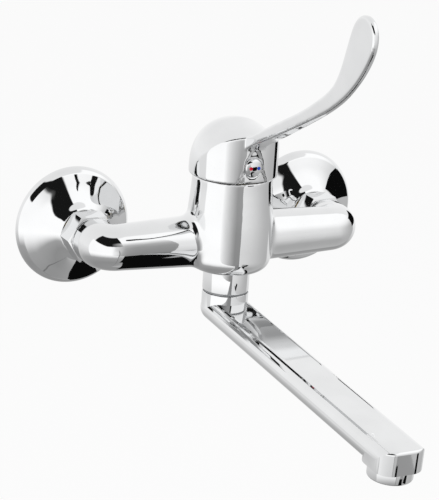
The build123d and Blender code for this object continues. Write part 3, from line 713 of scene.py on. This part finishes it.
# %% Aerator ring
SPOUT_SLOPE = 4.2
SPOUT_REACH = 187.6
SPOUT_TOP = -28.5
fall = math.radians(SPOUT_SLOPE)
forward = Vector((0, -math.cos(fall), -math.sin(fall)))
spout_root = Vector((0, -AXIS_DEPTH, SPOUT_TOP))
aerator_centre = spout_root + forward * SPOUT_REACH
aerator = spun_blank("aerator_ring", rounded(
    ((10.3, -13.15), (11.9, -13.15), (11.9, -19.55), (9.3, -19.55), (9.3, -18.2), (10.3, -17.4)),
    (0.2, 0.4, 0.7, 0.3, 0, 0)), True)
stand(aerator, aerator_centre, (SPOUT_SLOPE, 0, 0))
settle(aerator, "spout_group", "chrome_spout", ("aerator_housing",))

# %% [markdown]
# ### Button
#
# The button closes the hole of the lever's grub screw. Its face is a shallow dome that carries
# the colour marks, and a short stem behind it holds it in its hole. The outline stays open,
# because both of its ends lie on the axis.

# %% Button
BUTTON_HEIGHT = 54.7
BUTTON_RADIUS = 5.3
STEM_RADIUS = 2.4
STEM_FRONT = 22.2
STEM_BACK = 17.2
button_line = smooth_line((
    (0, 25.65), (1.8, 25.55), (3.4, 25.2), (4.5, 24.75), (5.1, 24.2), (BUTTON_RADIUS, 23.6),
), 4)
for corner in (
    (BUTTON_RADIUS, STEM_FRONT), (STEM_RADIUS, STEM_FRONT), (STEM_RADIUS, STEM_BACK), (0, STEM_BACK),
):
    button_line.append(Vector(corner))
button = spun_blank("button_cap", button_line, False)
stand(button, (0, -AXIS_DEPTH, BUTTON_HEIGHT), (90, 0, 0))
settle(button, "lever_group", "chrome_button", ("indicator_button",))

# %% [markdown]
# ## Cutting and breaking edges
#
# Some pieces start as one blank that is cut by another, as on a mill or in a press. No metal
# edge is left razor sharp: it is broken, which means rounded by a few tenths, and it then
# catches the light. Afterwards the large faces are given back their own direction, or else
# the rounded edges would make them look pillowy.


# %% Cutting and breaking edges
def apply_now(piece, modifier):
    """Makes the work of a modifier part of the mesh."""
    bpy.context.view_layer.objects.active = piece
    bpy.ops.object.modifier_apply(modifier=modifier.name)


def cut_with(piece, tool, operation):
    """Boolean of two blanks; the tool is used up."""
    take(piece)
    cut = piece.modifiers.new("cut", "BOOLEAN")
    cut.operation = operation
    cut.solver = "EXACT"
    cut.object = tool
    apply_now(piece, cut)
    bpy.data.objects.remove(tool)


def break_edges(piece, width, segments, angle):
    """Rounds every edge sharper than an angle, in millimetres and degrees."""
    soft = piece.modifiers.new("soft", "BEVEL")
    soft.width = width * MM
    soft.segments = segments
    soft.limit_method = "ANGLE"
    soft.angle_limit = math.radians(angle)
    apply_now(piece, soft)


def even_normals(piece):
    """Large faces keep their own direction; the light then runs flat over them."""
    even = piece.modifiers.new("even", "WEIGHTED_NORMAL")
    even.keep_sharp = True
    apply_now(piece, even)


# %% [markdown]
# ### Union nuts
#
# A hexagon nut is a prism whose corners are turned off at both ends, so each end shows the
# well-known arcs. Here the prism is cut by a turned blank, then bored: wide for the thread of
# the union, narrow where it holds the flange of the tail.

# %% Union nuts
NUT_FLATS = 26.0
NUT_START = 18.0
NUT_END = 31.0
NUT_CHAMFER = 1.4
THREAD_RADIUS = 10.58
TAIL_RADIUS = 8.1
NUT_SHOULDER = 25.6
OVERRUN = 1
nut_corner = NUT_FLATS / math.sqrt(3)
for side, x in (("left", -INLET_SIDE), ("right", INLET_SIDE)):
    bpy.ops.mesh.primitive_cylinder_add(
        vertices=6, radius=nut_corner * MM, depth=(NUT_END - NUT_START) * MM,
        location=(0, 0, (NUT_START + NUT_END) / 2 * MM), rotation=(0, 0, math.radians(30)))
    nut = bpy.context.object
    nut.name = side + "_hexagon_nut"
    fix_place(nut)
    turned_off = spun_blank(side + "_chamfers", (
        (0, NUT_START), (nut_corner - NUT_CHAMFER, NUT_START),
        (nut_corner + NUT_CHAMFER, NUT_START + NUT_CHAMFER),
        (nut_corner + NUT_CHAMFER, NUT_END - NUT_CHAMFER),
        (nut_corner - 2 * NUT_CHAMFER, NUT_END), (0, NUT_END),
    ), False)
    cut_with(nut, turned_off, "INTERSECT")
    bore = spun_blank(side + "_bore", (
        (0, NUT_START - OVERRUN), (THREAD_RADIUS, NUT_START - OVERRUN), (THREAD_RADIUS, NUT_SHOULDER),
        (TAIL_RADIUS, NUT_SHOULDER), (TAIL_RADIUS, NUT_END + OVERRUN), (0, NUT_END + OVERRUN),
    ), False)
    cut_with(nut, bore, "DIFFERENCE")
    break_edges(nut, width=0.22, segments=2, angle=20)
    stand(nut, (x, 0, ARM_HEIGHT), (90, 0, 0))
    settle(nut, side + "_nut", "chrome_nut", (side + "_union_nut",), angle=30)
    even_normals(nut)

# %% [markdown]
# ## Spout
#
# The spout is a flat bar with full, rounded flanks. Its root is round about the swivel axis,
# where a short collar stands on it, and it ends in a squared nose with upright walls.
#
# The bar is drawn as half of its cross section, spun half a turn for the round root, and its
# open end is then pulled forward in one long extrusion. That way root and bar share their
# rows of faces, and the reflections run from one into the other.

# %% Bar with its round root
BAR_HALF = 13.5
BAR_FLAT = 8.0
BAR_HEIGHT = 13.0
BAR_SHORTFALL = 4
FLANK_STEPS = 14
ROOT_STEPS = 48


def flank(start, end):
    """Points of the elliptical flank between two angles, from its top downwards."""
    points = []
    for step in range(FLANK_STEPS + 1):
        turn = math.radians(start + (end - start) * step / FLANK_STEPS)
        x = BAR_FLAT + (BAR_HALF - BAR_FLAT) * math.cos(turn)
        z = -BAR_HEIGHT / 2 + BAR_HEIGHT / 2 * math.sin(turn)
        points.append((x, z))
    return points


def drawn_line(name, points):
    """Open line of edges in the XZ plane, extruded point by point; stays in edit mode."""
    line = first_point(name, points[0])
    for last, point in zip(points, points[1:]):
        next_point(point[0] - last[0], point[1] - last[1])
    return line


def choose_open_edges():
    """Chooses the edges where the skin is still open."""
    bpy.ops.mesh.select_all(action="DESELECT")
    bpy.ops.mesh.select_mode(type="EDGE")
    bpy.ops.mesh.select_non_manifold()


def close_up(piece):
    """Merges doubles, fills what is open and turns all faces outwards."""
    merge_doubles()
    choose_open_edges()
    bpy.ops.mesh.edge_face_add()
    bpy.ops.mesh.select_all(action="SELECT")
    bpy.ops.mesh.normals_make_consistent(inside=False)
    bpy.ops.object.mode_set(mode="OBJECT")


bar = drawn_line("spout_bar", [(0, 0)] + flank(90, -90) + [(0, -BAR_HEIGHT)])
bpy.ops.mesh.select_all(action="SELECT")
bpy.ops.mesh.spin(steps=ROOT_STEPS, angle=-math.pi, center=(0, 0, 0), axis=(0, 0, 1))
merge_doubles()
choose_open_edges()
bpy.ops.mesh.extrude_region_move(
    TRANSFORM_OT_translate={"value": (0, -(SPOUT_REACH - BAR_SHORTFALL) * MM, 0)})
close_up(bar)
print("bar", len(bar.data.polygons), "faces")

# %% [markdown]
# ### Nose
#
# The nose carries the aerator. It is a block with large upright roundings at its corners and a
# small one along its top. Its sides have to follow the bar's full flanks above and fall
# straight below, so it is cut by a hull that has just that cross section.

# %% Nose
NOSE_LENGTH = 26.0
NOSE_MIDDLE = 188.0
NOSE_CORNER = 8.6
NOSE_CORNER_STEPS = 14
NOSE_TOP_EDGE = 1.6
NOSE_TOP_STEPS = 5


def soften_chosen(piece, choose, width, segments):
    """Rounds the edges whose two end heights pass the choice, in millimetres."""
    mesh = piece.data
    if "bevel_weight_edge" not in mesh.attributes:
        mesh.attributes.new("bevel_weight_edge", "FLOAT", "EDGE")
    weights = mesh.attributes["bevel_weight_edge"]
    for edge in mesh.edges:
        low, high = sorted(mesh.vertices[index].co.z / MM for index in edge.vertices)
        weights.data[edge.index].value = 1.0 if choose(low, high) else 0.0
    soft = piece.modifiers.new("soft", "BEVEL")
    soft.limit_method = "WEIGHT"
    soft.use_clamp_overlap = False
    soft.width = width * MM
    soft.segments = segments
    apply_now(piece, soft)


def is_upright(low, high):
    """True for an edge that climbs."""
    return high - low > 1


def is_on_top(low, high):
    """True for an edge that lies in the top face."""
    return low > -0.01


bpy.ops.mesh.primitive_cube_add(size=1, location=(0, -NOSE_MIDDLE * MM, -BAR_HEIGHT / 2 * MM))
nose = bpy.context.object
nose.name = "spout_nose"
nose.scale = (2 * BAR_HALF * MM, NOSE_LENGTH * MM, BAR_HEIGHT * MM)
fix_place(nose)
soften_chosen(nose, is_upright, NOSE_CORNER, NOSE_CORNER_STEPS)
soften_chosen(nose, is_on_top, NOSE_TOP_EDGE, NOSE_TOP_STEPS)

half_hull = [(0, 0)] + flank(90, 0) + [(BAR_HALF, -BAR_HEIGHT - OVERRUN)]
hull = drawn_line("nose_hull", half_hull + [(-x, z) for x, z in reversed(half_hull)])
merge_doubles()
bpy.ops.mesh.select_all(action="SELECT")
bpy.ops.mesh.edge_face_add()
bpy.ops.transform.translate(value=(0, -(NOSE_MIDDLE - NOSE_LENGTH / 2 - OVERRUN) * MM, 0))
bpy.ops.mesh.extrude_region_move(
    TRANSFORM_OT_translate={"value": (0, -(NOSE_LENGTH + 2 * OVERRUN) * MM, 0)})
close_up(hull)
cut_with(nose, hull, "INTERSECT")
print("nose", len(nose.data.polygons), "faces")

# %% [markdown]
# ### Collar, spigot and the whole spout
#
# Bar, nose, the spigot that the aerator screws on and the upright collar of the swivel joint
# are one casting. They are united while the bar still lies level, then the spout is tilted to
# its fall, and the collar comes last, because it stands upright on the tilted bar.

# %% The whole spout
SPOUT_COLLAR_RADIUS = 13.4
SPOUT_COLLAR_HEIGHT = 10.75
SPOUT_COLLAR_MIDDLE = -29.625
SPIGOT_LINE = (
    (0, -12.0), (10.2, -12.0), (10.2, -15.6), (8.9, -15.6), (8.9, -13.2), (0, -13.2),
)
bpy.ops.mesh.primitive_cylinder_add(
    vertices=SPIN_STEPS, radius=SPOUT_COLLAR_RADIUS * MM, depth=SPOUT_COLLAR_HEIGHT * MM)
spout_collar = bpy.context.object
spout_collar.name = "spout_collar"
break_edges(spout_collar, width=0.4, segments=3, angle=50)
spigot = spun_blank("spout_spigot", SPIGOT_LINE, False)
spigot.location = (0, -SPOUT_REACH * MM, 0)
cut_with(bar, nose, "UNION")
cut_with(bar, spigot, "UNION")
stand(bar, spout_root, (SPOUT_SLOPE, 0, 0))
stand(spout_collar, (0, -AXIS_DEPTH, SPOUT_COLLAR_MIDDLE))
fix_place(bar)
cut_with(bar, spout_collar, "UNION")
bar.name = "spout_casting"
settle(bar, "spout_group", "chrome_spout", ("spout",), angle=28)
even_normals(bar)

# %% [markdown]
# ## Polished castings
#
# Body and lever are castings whose forms run into one another. Their solids are copied,
# wrapped in an even skin of small squares and relaxed a little, which is what grinding and
# polishing do to the real casting. The squares of the lever are finer, since its recess and
# its blade have the tighter curves.

# %% Body and lever
WELD_REACH = 0.002 * MM
RELAX_FACTOR = 0.5
RELAX_ROUNDS = 18


def polished_casting(name, node, body, slot, voxel):
    """Even, relaxed skin in the shape of a CAD node; the voxel is in millimetres."""
    mesh = frame["nodes"][node].data.copy()
    piece = bpy.data.objects.new(name, mesh)
    bpy.context.scene.collection.objects.link(piece)
    take(piece)
    weld = piece.modifiers.new("weld", "WELD")
    weld.merge_threshold = WELD_REACH
    apply_now(piece, weld)
    skin = piece.modifiers.new("skin", "REMESH")
    skin.mode = "VOXEL"
    skin.voxel_size = voxel * MM
    apply_now(piece, skin)
    relax = piece.modifiers.new("relax", "SMOOTH")
    relax.factor = RELAX_FACTOR
    relax.iterations = RELAX_ROUNDS
    apply_now(piece, relax)
    bpy.ops.object.shade_smooth()
    mesh.materials.clear()
    mesh.materials.append(FINISH_OF_SLOT[slot])
    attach(piece, body)
    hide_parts(node)
    print(name, len(piece.data.polygons), "faces")


polished_casting("body_casting", "mixer_body", "fixed", "chrome_body", 0.66)
polished_casting("lever_casting", "lever", "lever_group", "chrome_lever", 0.48)
